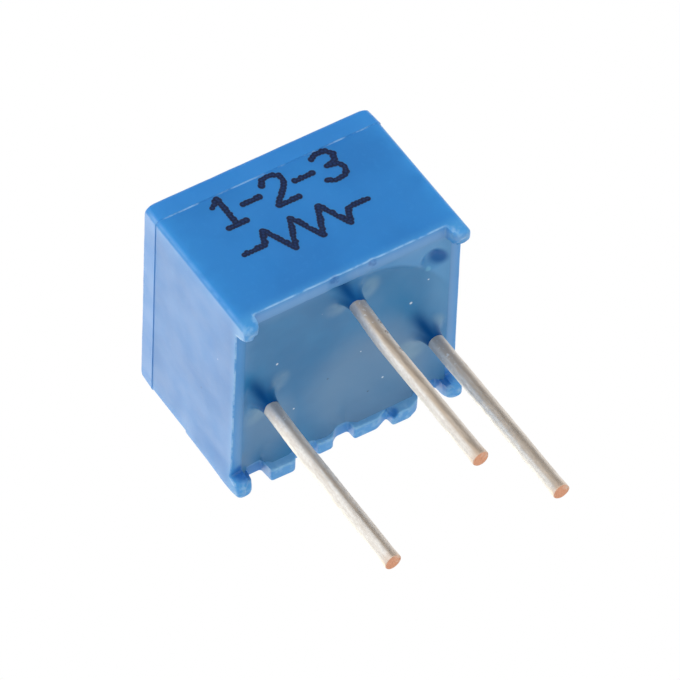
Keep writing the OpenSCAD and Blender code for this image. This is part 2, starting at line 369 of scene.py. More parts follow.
# Section of the parting line, from the strip down to the walls: inset, height from its middle
PARTING_LINE = ((0.004, 0.03), (0.001, 0.008), (0.004, 0.001), (STEP - 0.004, -0.001),
                (STEP, -0.008), (STEP, -0.04))
# How far the left rear edge bulges at each height
BULGE = [(0, 0.01), (0.25, 0.06), (0.7, 0.075), (1.4, 0.045), (2.6, 0.035), (2.68, 0.0), (TOP, 0.0)]
# The half-round hollow inside the rear rim: its middle and radius
RECESS = np.array([1.42, REAR - END_WALL, 0.2])
RECESS_R = 0.14


class Shell:
    """The housing as loops of points: the O-ring's seat, over the top, down and back up inside."""

    def __init__(self):
        self.rims = Rims()
        self.shares = self.rims.shares
        self.rim_z = self.rims.flat(self.rims.height, 0)
        self.around = len(self.rim_z)
        base = plan_loop(OUTER, EDGE_R, self.shares)
        self.angle = np.arctan2(base[:, 1], base[:, 0])
        self.ray = np.stack([np.cos(self.angle), np.sin(self.angle)], 1)
        self.loops = []
        self.bore_and_face()
        self.outer_walls()
        self.rim_and_cavity()
        self.chamber()

    def level(self, points, z):
        self.loops.append(np.column_stack([points, np.broadcast_to(z, self.around)]))

    def circle(self, radius, z):
        self.level(self.ray * np.broadcast_to(radius, self.around)[:, None], z)

    def drawn_in(self, inset, radius, z):
        self.level(plan_loop(plan_corners(inset, inset), radius, self.shares), z)

    def climb(self, start, end, low, high, parts):
        """Loops on the way from one to another, while the height goes evenly."""
        for part in parts:
            self.level(start + (end - start) * smooth(part), low + (high - low) * part)

    def bore_and_face(self):
        self.circle(SEAT_R, SEAT_HIGH)
        self.circle(BORE_R, SEAT_HIGH)
        self.circle(BORE_R, TOP - BORE_EDGE - 0.02)
        for r, z in arc((BORE_R + BORE_EDGE, TOP - BORE_EDGE), BORE_EDGE, 180, 90, 5):
            self.circle(r, z)
        self.circle(BORE_R + BORE_EDGE + 0.02, TOP)
        inset = TOP_R + STRIP_DRAFT
        face = plan_loop(plan_corners(inset, inset), TOP_CORNER_R, self.shares)
        for part in (0.35, 0.7, 0.97):
            self.level(self.ray * (BORE_R + BORE_EDGE) * (1 - part) + face * part, TOP)

    def outer_walls(self):
        """The face's rounded edge, the drafted strip, the parting line and the walls."""
        for turn in np.radians(np.linspace(90, 0, 10)):
            c, s = math.cos(turn), math.sin(turn)
            corner_r = EDGE_R + (TOP_CORNER_R - EDGE_R) * s
            self.drawn_in(TOP_R * (1 - c) + STRIP_DRAFT, corner_r, TOP - TOP_R * (1 - s))
        self.drawn_in(STRIP_DRAFT - 0.002, EDGE_R, TOP - TOP_R - 0.03)
        for inset, rise in PARTING_LINE:
            self.drawn_in(inset, EDGE_R, PARTING + rise)
        for z in WALL_LOOPS:
            self.drawn_in(STEP, EDGE_R, z)

    def near_rim(self, lift, depth):
        """A loop that follows the rim, some way up the wall and in from its face."""
        rims, walls = self.rims, plan_corners(STEP, STEP)
        side_round = [rims.foot_round(side) for side in range(4)]
        round_r = rims.flat(side_round, FOOT_ROUND)
        lean_z = rims.flat([lean[:, 1] for lean in rims.lean], 1)
        along = [row + lean[:, 0] * (radius * lift)
                 for row, lean, radius in zip(rims.along, rims.lean, side_round)]
        points = plan_loop(walls, EDGE_R, along=along) - rims.normals() * (round_r * depth)[:, None]
        return points, self.rim_z + lean_z * round_r * lift, round_r

    def rim_and_cavity(self):
        """The wall's lowest part, the rim's round edges and underside, and the cavity's wall."""
        rims = self.rims
        low_points, low_z, round_r = self.near_rim(1.3, 0)
        high_points = plan_loop(plan_corners(STEP, STEP), EDGE_R, self.shares)
        self.climb(low_points, high_points, RIM_CLEAR, WALL_LOW, (1, 0.65, 0.3))
        self.climb(low_points, low_points, low_z, RIM_CLEAR, (1, 0.66, 0.33, 0))
        for turn in np.radians(np.linspace(0, 90, 7)):
            self.level(*self.near_rim(1 - math.sin(turn), 1 - math.cos(turn))[:2])
        edge_points = self.near_rim(0, 1)[0]
        inner_along = [rims.cavity_place(side) for side in range(4)]
        inner_points = plan_loop(CAVITY, CAVITY_R, along=inner_along)
        across = inner_points - edge_points
        width = np.linalg.norm(across, axis=1)
        lift = FOOT_LIFT * (round_r - RIM_ROUND) / (FOOT_ROUND - RIM_ROUND)
        soft = [np.full(len(row), radius) for row, radius in zip(rims.along, INNER_ROUNDS)]
        soft = rims.flat(soft, INNER_ROUNDS[2])

        def underside(part, rise=0):
            self.level(edge_points + across * part[:, None], self.rim_z + lift * part ** 2 + rise)

        for part in (0.12, 0.35, 0.6, 0.82):
            underside(part * (1 - soft / width))
        for turn in np.radians(np.linspace(0, 90, 5)):
            underside(1 - soft * (1 - math.sin(turn)) / width, soft * (1 - math.cos(turn)))
        wall_foot = self.rim_z + lift + soft
        upper = plan_loop(CAVITY, CAVITY_R, self.shares)
        self.climb(inner_points, inner_points, wall_foot, RIM_CLEAR, (0.12, 0.25, 0.38, 0.52, 0.7, 1))
        self.climb(inner_points, upper, RIM_CLEAR, CAVITY_LEVEL, (0.3, 0.65, 1))

    def from_direction(self, direction):
        """Angle of each station away from a direction, to either side."""
        return np.abs((self.angle - direction + math.pi) % (2 * math.pi) - math.pi)

    def chamber(self):
        """The plate's ledge, relieved around the pins, and the chamber with its stop rib."""
        apart = np.min([self.from_direction(math.atan2(y, x)) for x, y in PINS.values()], axis=0)
        ledge = PLATE_TOP + 0.12 * smooth((0.24 - apart) / 0.04)
        self.level(plan_loop(CAVITY, CAVITY_R, self.shares), ledge)
        self.circle(CHAMBER_R, ledge)
        rib = smooth((math.radians(RIB_HALF) - self.from_direction(-math.pi / 2)) / 0.03)
        self.circle(CHAMBER_R, RIB_LOW - 0.02 * (1 - rib))
        for z in (RIB_LOW + 0.3 * (1 - rib), ROOF):
            self.circle(CHAMBER_R + (RIB_R - CHAMBER_R) * rib, z)
        self.circle(SEAT_R, ROOF)


def uneven_walls(points, outside):
    """Hollows, the edge's bulge and the recess in the rear rim, pressed into the points."""
    plan, height = points[:, :2], points[:, 2]
    near_edge = np.exp(-np.abs(height - TOP) / 0.5) + np.exp(-height / 0.3)
    uneven = 0.006 * wobble(points, 3.2, 11) * (0.4 + 0.6 * near_edge)
    uneven += 0.004 * wobble(points, 0.7, 12) * near_edge
    push = np.minimum(uneven - 0.006, 0) * smooth((0.34 - outside) / 0.2)
    plan += plan / np.linalg.norm(plan, axis=1)[:, None] * push[:, None]
    bulge = np.interp(height, *zip(*BULGE)) * smooth((plan[:, 1] - REAR + 1.1) / 1.0)
    plan[:, 0] -= bulge * smooth((LEFT + 0.36 - plan[:, 0]) / 0.3)
    away = np.linalg.norm((points - RECESS) * (1, 1, 0.6), axis=1)
    plan[:, 1] += 0.15 * smooth((RECESS_R * 1.3 - away) / (RECESS_R * 0.9)) * (plan[:, 1] < REAR - 0.2)


def housing_piece(material):
    shell = Shell()
    points = np.concatenate(shell.loops)
    outside = inside_plan(points[:, :2], OUTER)[1]
    uneven_walls(points, outside)
    faces = strips(len(shell.loops), shell.around, closed=True)
    piece = new_piece("housing", points, faces, material, 50)
    x, y, z = points.T
    plan = points[:, :2]
    from_corner = np.min([np.linalg.norm(plan - corner, axis=1) for corner in OUTER], axis=0)
    outer_skin = outside < 0.12
    # Painted light: the outer skin is made paler near the upright corners.
    paint(piece, "painted_edge_light", np.where(outer_skin, np.exp(-from_corner / 0.24), 0))
    above_rim = z - np.tile(shell.rim_z, len(shell.loops))
    # Painted highlight: a thin pale line along the rims' outer edges and the upright edges.
    rim_highlight = np.exp(-((above_rim - 0.01) / 0.024) ** 2) * (outside < 0.05) * (z < 1.2)
    upright_highlight = np.exp(-((from_corner - 0.065) / 0.03) ** 2) * outer_skin * (above_rim > 0)
    paint(piece, "painted_edge_highlight", np.maximum(rim_highlight, 0.8 * upright_highlight))
    on_left = x < LEFT + 0.4
    # Painted light: the rims' undersides are made paler, less so at the rear and on the left.
    under = (above_rim < 0.02) * smooth((REAR - y - 0.6) / 0.3)
    under = under * (1 - 0.75 * on_left * smooth((0.9 - y) / 1.5))
    paint(piece, "underside", under * smooth(outside / 0.3))
    # Painted shade: darker where the rims meet the cavity, more so on the left.
    from_inner = np.abs(inside_plan(plan, CAVITY)[1])
    paint(piece, "inner_edge_shade", (above_rim < 0.05) * np.exp(-from_inner / 0.1) * (0.5 + 0.5 * on_left))
    # Painted light on the rear tabs' inner faces.
    paint(piece, "tab_face", (from_inner < 0.05) * (y > REAR - END_WALL - 0.02) * (z < 0.75))
    return piece


# --- slabs with holes: ceramic plate and epoxy ---

PIN_SIDES = 96
NOTHING = np.zeros((0, 2))


def triangulated(outer, holes, inner):
    """Triangles of a region with round holes. The given points keep their order."""
    points = np.concatenate([outer] + [circle_points(c, r, n) for c, r, n in holes] + [inner])
    edges, start = [], 0
    for count in [len(outer)] + [n for _, _, n in holes]:
        edges += [(start + i, start + (i + 1) % count) for i in range(count)]
        start += count
    result = delaunay_2d_cdt([Vector(p) for p in points], edges, [], 1, 1e-7)
    places, faces, sources = result[0], result[2], result[3]
    order = np.array([min(source) if source else -1 for source in sources])
    middle = np.array([np.mean([places[i] for i in face], axis=0) for face in faces])
    keep = np.ones(len(faces), bool)
    for centre, radius, _ in holes:
        keep &= np.linalg.norm(middle - centre, axis=1) > radius * 0.99
    return points, [tuple(order[i] for i in face) for face, good in zip(faces, keep) if good]


def slab(outer, low_holes, high_holes, inner, low_z, high_z, between):
    """A closed slab: its lower face has inner points and a height function, its upper is flat."""
    low, low_faces = triangulated(outer, low_holes, inner)
    high, high_faces = triangulated(outer, high_holes, NOTHING)
    points = [np.column_stack([low, low_z(low)]), np.column_stack([high, np.full(len(high), high_z)])]
    offset, total = len(low), len(low) + len(high)
    faces = [face[::-1] for face in low_faces] + [tuple(offset + i for i in f) for f in high_faces]
    start = len(outer)
    faces += band(0, offset, start)
    for centre, _, n in low_holes:
        previous = start
        for radius, z in between:
            points.append(np.column_stack([circle_points(centre, radius, n), np.full(n, z)]))
            faces += band(total, previous, n)
            previous, total = total, total + n
        faces += band(offset + start, previous, n)
        start += n
    return np.concatenate(points), faces


def at_pins(radius, sides):
    return [(place, radius, sides) for place in PINS.values()]


# --- epoxy ---

# How far the surface creeps up each wall at most, and how far in; the rear follows its rim
CREEP = ((0.1, 0.4), (0.165, 0.24), (None, 0.2), (0.11, 0.35))
CREEP_LOW, CREEP_HIGH = 0.01, 0.26
# The pins' fillets: height and reach of the steep part and of the broad one
FILLETS = ((0.36, 0.07), (0.25, 0.22))
FILLET_RINGS = (0.02, 0.045, 0.075, 0.11, 0.15)
EPOXY_GRID = 0.056          # pitch of the surface's points
EPOXY_SIDES = (100, 94, 100, 94)  # points along each wall
SLEEVE = 0.9                # height in the epoxy where a pin's hole gets its next loop
# Hollow in the cured surface: place, radius, depth
HOLLOW = ((2.68, -2.12), 0.4, 0.16)
# A step in the surface runs as an arc around the front right corner: centre, radius
PLATFORM = (-0.16, 0.82, 3.62)
# Which way the painted dark tails of the pins' fillets run, standing in for their dark reflection
TAIL = np.array([-0.42, -0.907])


def rear_creep(x):
    """Creep at the rear wall: up to its rim, evened out along it."""
    rim_x = np.maximum.accumulate(REAR_RIM[:, 0])
    free = [EPOXY_LEVEL - np.interp(x + shift, rim_x, REAR_RIM[:, 1])
            for shift in (0, -0.16, -0.08, 0.08, 0.16)]
    around = np.mean([np.clip(height, CREEP_LOW, CREEP_HIGH) for height in free[1:]], axis=0)
    return np.minimum(np.clip(free[0] - 0.01, CREEP_LOW, CREEP_HIGH), around)


def past_platform(points):
    """How far each point is outside the step's arc, and whether it is in that corner at all."""
    x, y = points.T
    return np.hypot(x - PLATFORM[0], y - PLATFORM[1]) - PLATFORM[2], (x > PLATFORM[0]) & (y < PLATFORM[1])


def epoxy_height(points):
    """Height of the cured surface: it creeps up to the rims and, as a tall fillet, up the pins."""
    walls, nearest = inside_plan(points, CAVITY)
    creep = 0
    for away, (most, reach) in zip(walls, CREEP):
        most = rear_creep(points[:, 0]) if most is None else most
        creep = creep + (most * np.exp(-np.abs(away) / reach)) ** 3
    z = EPOXY_LEVEL - creep ** (1 / 3)
    for place in PINS.values():
        away = np.linalg.norm(points - place, axis=1) - PIN_R
        z -= smooth(nearest / 0.2) * sum(rise * np.exp(-away / reach) for rise, reach in FILLETS)
    past, there = past_platform(points)
    z -= 0.03 * smooth(past / 0.14) * there
    place, radius, depth = HOLLOW
    z += depth * smooth((1.1 - np.linalg.norm(points - place, axis=1) / radius) / 0.8)
    flat = np.column_stack([points, np.zeros(len(points))])
    return z + 0.005 * wobble(flat, 1.6, 21) + 0.0015 * wobble(flat, 0.4, 22)


def pin_shade_tails(plan):
    """Painted shade around the pins: a ring at each, and a tail of painted dark reflection to one side."""
    pin_shade = np.zeros(len(plan))
    for place in PINS.values():
        step = plan - place
        away = np.linalg.norm(step, axis=1)
        along, across = step @ TAIL, step @ np.array([-TAIL[1], TAIL[0]])
        tail = np.exp(-(across / 0.2) ** 2) * smooth((along + 0.1) / 0.35) * (1 - smooth((along - 0.3) / 0.8))
        ring = np.exp(-np.maximum(away - PIN_R, 0) / 0.11)
        ring *= smooth(0.55 + 0.6 * along / np.maximum(away, 0.1))
        pin_shade = np.maximum(pin_shade, np.maximum(tail, ring))
    return pin_shade


def epoxy_piece(material):
    outer = plan_loop(CAVITY, CAVITY_R, [np.arange(0, 1.0001, 1 / n) for n in EPOXY_SIDES])
    grid = np.meshgrid(np.arange(-3.2, 3.3, EPOXY_GRID), np.arange(-3, 3, EPOXY_GRID))
    rows = np.stack(grid, -1).reshape(-1, 2)
    rows = rows + np.random.default_rng(31).uniform(-0.006, 0.006, rows.shape)
    rows = rows[inside_plan(rows, CAVITY)[1] > 0.05]
    for place in PINS.values():
        rows = rows[np.linalg.norm(rows - place, axis=1) > PIN_R + 0.17]
    rings = [circle_points(place, PIN_R + away, PIN_SIDES // 2)
             for place in PINS.values() for away in FILLET_RINGS]
    points, faces = slab(outer, at_pins(PIN_R, PIN_SIDES), at_pins(SOLDER_R, PIN_SIDES),
                         np.concatenate([rows] + rings), epoxy_height, PLATE_LOW[2],
                         [(PIN_R, SLEEVE), (PIN_R, SOLDER_BOXES[1][0][2])])
    piece = new_piece("epoxy_seal", points, faces, material, 50)
    plan = points[:, :2]
    shore = np.exp(-np.maximum(inside_plan(plan, CAVITY)[1], 0) / 0.16)
    paint(piece, "shore", shore * smooth((REAR - END_WALL - 0.5 - plan[:, 1]) / 0.5))
    # Painted shade and dark reflection around the pins' fillets.
    paint(piece, "pin_shade", pin_shade_tails(plan))
    past, there = past_platform(plan)
    paint(piece, "platform", smooth(past / 0.2) * there)
    return piece


# --- ceramic plate, films and solder ---

PLATE_HOLE_R = PIN_R + 0.03
TRACK_W = 0.5
TRACK_HALF = 130            # degrees to each side of the rear
SOLDER_SIDES = 64


def substrate_piece(material):
    (left, front), (right, rear) = PLATE_LOW[:2], PLATE_HIGH[:2]
    corners = np.array([[left, front], [right, front], [right, rear], [left, rear]])
    outer = plan_loop(corners, EDGE_R, [np.linspace(0, 1, 24)] * 4)
    holes = at_pins(PLATE_HOLE_R, PIN_SIDES // 2)
    points, faces = slab(outer, holes, holes, NOTHING, lambda p: np.full(len(p), PLATE_LOW[2]),
                         PLATE_TOP, [(PLATE_HOLE_R, PLATE_TOP - 0.1)])
    return new_piece("substrate", points, faces, material, 30)


def resistive_track_piece(material):
    """A printed arc, slightly crowned like any screened film."""
    outer_r = TRACK_HIGH[0]
    inner_r = outer_r - TRACK_W
    bottom, top = TRACK_LOW[2], TRACK_HIGH[2]
    profile = [(inner_r, bottom), (inner_r + 0.02, bottom + 0.02), (inner_r + 0.07, top),
               (outer_r - 0.07, top), (outer_r - 0.02, bottom + 0.02), (outer_r, bottom)]
    angles = np.radians(np.linspace(90 - TRACK_HALF, 90 + TRACK_HALF, 181))
    points = [(r * math.cos(a), r * math.sin(a), z) for a in angles for r, z in profile]
    return new_piece("resistive_track", points, strips(len(angles), len(profile)), material, 40)


def solder_piece(number, material):
    """A hollow-sided fillet between a pin and the ceramic plate."""
    low, high = SOLDER_BOXES[number]
    rise = high[2] - low[2]
    slope = [(PIN_R + (SOLDER_R - PIN_R) * t ** 2.2 + 0.004, low[2] + rise * t)
             for t in np.linspace(0, 1, 12)]
    profile = [(PIN_R, low[2])] + slope + [(PIN_R, high[2])]
    points = turned(profile, SOLDER_SIDES, PINS[number])
    faces = strips(len(profile), SOLDER_SIDES, closed=True)
    return new_piece(f"solder_{number}", points, faces, material, 50)


# --- pins ---

# How far each pin's tip leans away from its hole
PIN_LEAN = {1: (-0.055, -0.01), 2: (-0.11, -0.025), 3: (0.02, 0.035)}
# The side of the wires that gets painted shade, and where on each that painted shade starts
SHADED_SIDE = np.array([0.898, -0.439])
SIDE_SHADE_START = {1: 0.05, 2: -0.35, 3: -0.45}
TIP_ROUND = 0.035


def pin_piece(number, material):
    """Drawn wire with an uneven tinned skin, sheared at its end."""
    low, high = PIN_BOXES[number][0][2], PIN_BOXES[number][1][2]
    profile = [(0.0005, high), (PIN_R * 0.6, high), (PIN_R - 0.01, high)]
    profile += [(PIN_R, z) for z in np.linspace(high, low + 0.06, 130)[1:]]
    profile += [(PIN_R - TIP_ROUND + TIP_ROUND * math.cos(t), low + 0.04 - TIP_ROUND * math.sin(t))
                for t in np.radians((20, 45, 70, 88))]
    profile += [(max(PIN_R * share, 0.0005), low + 0.004) for share in (0.8, 0.6, 0.4, 0.2, 0.0)]
    points = turned(profile, PIN_SIDES, PINS[number])
    spoke = points[:, :2] - PINS[number]
    radius = np.linalg.norm(spoke, axis=1)
    depth = points[:, 2]
    tip = smooth((low + 0.35 - depth) / 0.35)
    coat = 0.006 * wobble(points * (1, 1, 0.22), 0.35, 40 + number)
    coat += 0.003 * wobble(points, 0.16, 50 + number)
    burr = tip * 0.012 * (1 + wobble(points * (1, 1, 0), 0.3, 60 + number))
    free = smooth((EPOXY_LEVEL - 0.3 - depth) / 0.6)
    grow = 1 + free * (coat + burr) / np.maximum(radius, PIN_R * 0.5)
    points[:, :2] = PINS[number] + spoke * grow[:, None]
    cut = 0.09 * spoke[:, 0] - 0.05 * spoke[:, 1] + 0.01 * wobble(points, 0.12, 70 + number)
    points[:, 2] += np.where(depth < low + 0.01, np.maximum(cut + 0.012, 0), 0)
    lean = smooth((EPOXY_LEVEL - 0.05 - depth) / 2.4)
    points[:, :2] += lean[:, None] * PIN_LEAN[number]
    piece = new_piece(f"pin_{number}", points, strips(len(profile), PIN_SIDES), material, 60)
    turn = spoke @ SHADED_SIDE / np.maximum(radius, 0.01)
    paint(piece, "cut_end", smooth((low + 0.05 - depth) / 0.03) * smooth((PIN_R - radius) / 0.02))
    paint(piece, "tip", tip)
    # Painted shade along the wires' edge opposite the shaded side.
    paint(piece, "far_side_shade", smooth((-turn - 0.45) / 0.4))
    # Painted shade down one side of each wire, easing off again at its edge.
    side_shade = smooth((turn - SIDE_SHADE_START[number]) / 0.4)
    paint(piece, "side_shade", side_shade * (1 - 0.6 * smooth((turn - 0.3) / 0.6)))
    return piece


# --- rotor and seal ---

ROTOR_SIDES, RING_SIDES = 160, 144
HEAD_EDGE = 0.09            # rounding of the head's rim
FLANGE_EDGE = 0.03          # bevel of the flange and the post
SLOT_LIP, SLOT_FOOT = 0.06, 0.08
RING_FLASH = 0.006


def evaluated(piece, name, material):
    """The piece with its modifiers in its mesh, under a new name."""
    graph = bpy.context.evaluated_depsgraph_get()
    mesh = bpy.data.meshes.new_from_object(piece.evaluated_get(graph))
    mesh.name = name
    mesh.materials.clear()
    mesh.materials.append(material)
    bpy.data.objects.remove(piece)
    return add_object(name, mesh)


def boolean(piece, other, operation):
    cut = piece.modifiers.new(operation.lower(), "BOOLEAN")
    cut.operation = operation
    cut.solver = "EXACT"
    cut.object = other


def extruded(name, outline, low, high, axis, material):
    """A closed prism of an outline in a plane across an axis: 1 for Y and 2 for Z."""
    rows = [(u, level, v) if axis == 1 else (u, v, level) for level in (low, high) for u, v in outline]
    return new_piece(name, rows, strips(2, len(outline)), material)


def rotor_piece(material):
    """Head with a rounded rim, flange, stop lug and the post under it, cut by the slot."""
    head_top, post_low = ROTOR_HIGH[2], ROTOR_LOW[2]
    edge = FLANGE_EDGE
    profile = [(0.001, post_low), (POST_R - edge, post_low), (POST_R, post_low + edge),
               (POST_R, FLANGE_LOW), (FLANGE_R - edge, FLANGE_LOW), (FLANGE_R, FLANGE_LOW + edge),
               (FLANGE_R, FLANGE_HIGH - edge), (FLANGE_R - edge, FLANGE_HIGH), (HEAD_R, FLANGE_HIGH)]
    profile += arc((HEAD_R - HEAD_EDGE, head_top - HEAD_EDGE), HEAD_EDGE, 0, 90, 7)
    profile += [(HEAD_R * 0.6, head_top), (0.001, head_top)]
    body = new_piece("rotor_blank", turned(profile, ROTOR_SIDES), strips(len(profile), ROTOR_SIDES), material)
    inner, outer = (arc((0, 0), radius, 90 + LUG_HALF, 90 - LUG_HALF, 12) for radius in (
        FLANGE_R - 0.2, ROTOR_HIGH[1]))
    stop = extruded("rotor_lug", outer[::-1] + inner, FLANGE_LOW, FLANGE_HIGH, 2, material)
    half, wide, floor = SLOT_W / 2, SLOT_W / 2 + SLOT_LIP, head_top - SLOT_DEPTH
    right = [(half - SLOT_FOOT, floor), (half, floor + SLOT_FOOT)]
    right += arc((wide, head_top - SLOT_LIP), SLOT_LIP, 180, 90, 5) + [(wide, head_top + 0.5)]
    outline = right + [(-x, z) for x, z in reversed(right)]
    slot_cut = extruded("rotor_slot", outline, -HEAD_R - 0.5, HEAD_R + 0.5, 1, material)
    boolean(body, stop, "UNION")
    boolean(body, slot_cut, "DIFFERENCE")
    made = evaluated(body, "rotor", material)
    for tool in (stop, slot_cut):
        bpy.data.objects.remove(tool)
    made.data.set_sharp_from_angle(angle=math.radians(35))
    return made


def o_ring_piece(material):
    """A round section with its moulding flash left as a fine line outside and inside."""
    thick = (RING_HIGH[2] - RING_LOW[2]) / 2
    middle_r, middle_z = RING_HIGH[0] - thick, (RING_LOW[2] + RING_HIGH[2]) / 2
    section = []
    for t in np.radians(np.arange(0, 360, 7.5)):
        reach = thick - RING_FLASH + RING_FLASH * max(0.0, abs(math.cos(t)) - 0.985) / 0.015
        section.append((middle_r + reach * math.cos(t), middle_z + reach * math.sin(t)))
    faces = strips(len(section), RING_SIDES, closed=True)
    return new_piece("o_ring", turned(section, RING_SIDES), faces, material, 60)


# --- node trees ---


class Tree:
    """A node tree, with short ways to add nodes and join them."""

    def __init__(self, tree):
        self.tree = tree

    def add(self, kind, settings=None, **inputs):
        """A node. An input has underscores for spaces, or i and its number; it takes a value or a node."""
        node = self.tree.nodes.new(kind)
        for key, value in (settings or {}).items():
            setattr(node, key, value)
        for key, value in inputs.items():
            socket = node.inputs[int(key[1:]) if key[1:].isdigit() else key.replace("_", " ")]
            if isinstance(value, bpy.types.Node):
                value = value.outputs[0]
            if isinstance(value, bpy.types.NodeSocket):
                self.tree.links.new(value, socket)
            else:
                socket.default_value = value
        return node

    def geo(self, kind, settings=None, **inputs):
        return self.add("GeometryNode" + kind, settings, **inputs)

    def math(self, operation, a, b=0.0):
        return self.add("ShaderNodeMath", {"operation": operation}, i0=a, i1=b).outputs[0]

    def vector(self, operation, **inputs):
        return self.add("ShaderNodeVectorMath", {"operation": operation}, **inputs)

    def chance(self, low, high, seed):
        """A random vector for each point."""
        settings = {"data_type": "FLOAT_VECTOR"}
        return self.add("FunctionNodeRandomValue", settings, i0=low, i1=high, Seed=seed)

    def close(self, instances, output, material, smooth_faces=False):
        """Instances as real meshes with their material: the tree's result."""
        real = self.geo("RealizeInstances", Geometry=instances)
        if smooth_faces:
            real = self.geo("SetShadeSmooth", Geometry=real)
        done = self.geo("SetMaterial", Geometry=real, Material=material)
        self.tree.links.new(done.outputs[0], output.inputs[0])
        return self


def geometry_tree(name, inputs):
    """An empty Geometry Nodes tree with a geometry in and out and named inputs."""
    tree = bpy.data.node_groups.new(name, "GeometryNodeTree")
    for way in ("INPUT", "OUTPUT"):
        tree.interface.new_socket("Geometry", in_out=way, socket_type="NodeSocketGeometry")
    for label, value in inputs.items():
        kind = "NodeSocketInt" if isinstance(value, int) else "NodeSocketFloat"
        tree.interface.new_socket(label, in_out="INPUT", socket_type=kind).default_value = value
    build = Tree(tree)
    return build, build.add("NodeGroupInput").outputs, build.add("NodeGroupOutput")


def through_nodes(piece, build, name, material, **inputs):
    """Runs a Geometry Nodes tree on a piece and keeps the result as a plain mesh."""
    modifier = piece.modifiers.new(name, "NODES")
    modifier.node_group = build.tree
    for item in build.tree.interface.items_tree:
        if item.in_out == "INPUT" and item.name in inputs:
            modifier[item.identifier] = inputs[item.name]
    return evaluated(piece, name, material)


def wire(name, lines):
    """An object of edges only, from polylines in millimetres."""
    points, edges = [], []
    for line in lines:
        edges += [(len(points) + k, len(points) + k + 1) for k in range(len(line) - 1)]
        points += [tuple(np.array(p) * MM) for p in line]
    mesh = bpy.data.meshes.new(name)
    mesh.from_pydata(points, edges, [])
    return add_object(name, mesh)


# --- wiper: a sheet with rows of bent fingers, which repeat at one pitch ---

FINGER_W = 0.14
FINGER_PITCH = 0.2
FINGER_BEND = 0.12
SHEET_R = 0.95
SHEET_T = 0.08
END_BEVEL = 0.05            # of the sheet's square ends
# Middle line of a finger, as (distance from the axis, share of the way up to the sheet)
TRACK_FINGER = [(0.8, 1), (1.05, 1), (1.8, 0.11), (1.94, 0), (2.06, 0), (2.19, 0.11)]
COLLECTOR_FINGER = [(-0.8, 1), (-1.15, 1), (-1.27, 0.86), (-1.27, 0.68), (-0.66, 0.14), (-0.52, 0),
                    (-0.4, 0), (-0.3, 0.09)]


def finger_nodes(material):
    """Each edge path becomes a row of flat fingers at one pitch across it."""
    build, given, end = geometry_tree("contact_fingers", {
        "Count": 3, "Pitch": FINGER_PITCH * MM, "Width": FINGER_W * MM, "Thickness": SHEET_T * MM})
    path = build.geo("MeshToCurve", Mesh=given["Geometry"])
    section = build.geo("CurvePrimitiveQuadrilateral", Width=given["Thickness"], Height=given["Width"])
    softer = build.geo("FilletCurve", {"mode": "POLY"}, Curve=section, Count=3, Radius=0.15 * SHEET_T * MM)
    bar = build.geo("CurveToMesh", Curve=path, Profile_Curve=softer, Fill_Caps=True)
    last = build.math("SUBTRACT", given["Count"], 1.0)
    first = build.math("MULTIPLY", build.math("MULTIPLY", last, given["Pitch"]), -0.5)
    row = build.geo("MeshLine", Count=given["Count"],
                    Start_Location=build.add("ShaderNodeCombineXYZ", X=first),
                    Offset=build.add("ShaderNodeCombineXYZ", X=given["Pitch"]))
    return build.close(build.geo("InstanceOnPoints", Points=row, Instance=bar), end, material)


def fingers(name, path, count, material):
    low, high = WIPER_LOW[2] + SHEET_T / 2 + 0.01, WIPER_HIGH[2] - SHEET_T / 2
    bends = [(y, low + (high - low) * share) for y, share in path]
    bends = softened(bends, [0] + [FINGER_BEND] * (len(path) - 2) + [0], 0.05)
    line = [(0.0, y, z) for y, z in bends]
    return through_nodes(wire(name, [line]), finger_nodes(material), name, material, Count=count)


def wiper_piece(material):
    """A disc with two square ends, a hole for the post, and its two rows of fingers."""
    high = WIPER_HIGH[2]
    half = SHEET_R / 2
    outline = []
    for side, start in ((1, 0), (-1, 180)):
        outline += arc((0, 0), SHEET_R, start - 60, start + 60, 24)
        square = [(half, SHEET_R - END_BEVEL), (half - END_BEVEL, SHEET_R),
                  (END_BEVEL - half, SHEET_R), (-half, SHEET_R - END_BEVEL)]
        outline += [(side * x, side * y) for x, y in square]
    sheet = extruded("wiper_sheet", outline, high - SHEET_T, high, 2, material)
    hole = extruded("wiper_hole", circle_points((0, 0), POST_R, 64), high - 0.5, high + 0.5, 2, material)
    boolean(sheet, hole, "DIFFERENCE")
    rows = [evaluated(sheet, "wiper_sheet", material),
            fingers("track_fingers", TRACK_FINGER, 5, material),
            fingers("collector_fingers", COLLECTOR_FINGER, 3, material)]
    bpy.data.objects.remove(hole)
    with bpy.context.temp_override(active_object=rows[0], selected_editable_objects=rows):
        bpy.ops.object.join()
    rows[0].name = rows[0].data.name = "wiper"
    return rows[0]


# --- marking: dots of ink along simple lines ---

MARK_Y = FRONT + STEP
DOT_RISE = 0.008
DIGITS = {
    "1": [[(0.1, 0.8), (0.35, 1.0), (0.35, 0.0)], [(0.1, 0.0), (0.6, 0.0)]],
    "2": [[(0.0, 0.78), (0.12, 0.97), (0.35, 1.0), (0.56, 0.9), (0.6, 0.68), (0.45, 0.45), (0.0, 0.0),
           (0.64, 0.0)]],
    "3": [[(0.02, 0.9), (0.2, 1.0), (0.48, 0.98), (0.6, 0.8), (0.5, 0.57), (0.25, 0.52)],
          [(0.25, 0.52), (0.55, 0.45), (0.64, 0.24), (0.5, 0.04), (0.2, 0.0), (0.0, 0.1)]],
    "-": [[(0.05, 0.5), (0.55, 0.5)]],
}
